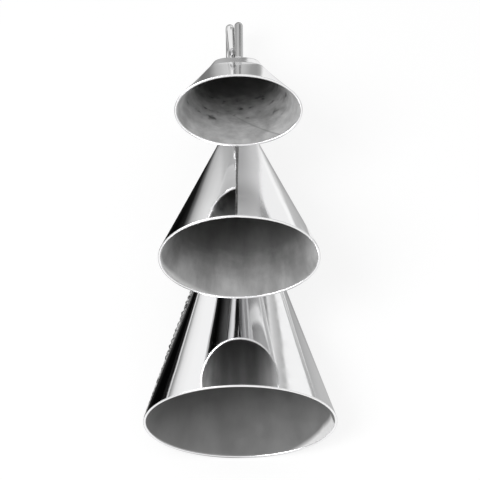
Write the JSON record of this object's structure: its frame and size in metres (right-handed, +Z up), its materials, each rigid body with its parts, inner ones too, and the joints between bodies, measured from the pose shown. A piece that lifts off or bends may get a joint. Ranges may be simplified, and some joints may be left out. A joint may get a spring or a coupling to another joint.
{
  "type": "triple cowbell",
  "caption": "Triple hand bell: oval sheet-metal cones of rising size fanned on two nested bent rods that serve as the handle, struck with a stick.",
  "frame": {"origin": "middle of the footprint, on the floor that the large bell's rim and the lower rod bend lie on", "axes": "+Z up, -Y the way the mouths face, +Y towards the rod bends, X across the wide side of the oval mouths"},
  "size_m": [0.1204, 0.3816, 0.1341],
  "materials": {
    "bell_chrome": "polished chrome plate outside, dull plate inside",
    "rod_chrome": "chrome plate",
    "weld_metal": "plated weld bead"
  },
  "bodies": {
    "root": {"small_bell": "bell_chrome", "mid_bell": "bell_chrome", "large_bell": "bell_chrome", "small_seam": "weld_metal", "mid_seam": "weld_metal", "large_seam": "weld_metal", "main_rod": "rod_chrome", "mid_rod": "rod_chrome", "small_lip_weld": "weld_metal", "mid_lip_weld": "weld_metal", "large_lip_weld": "weld_metal", "rod_tack_weld": "weld_metal"}
  },
  "joints": []
}
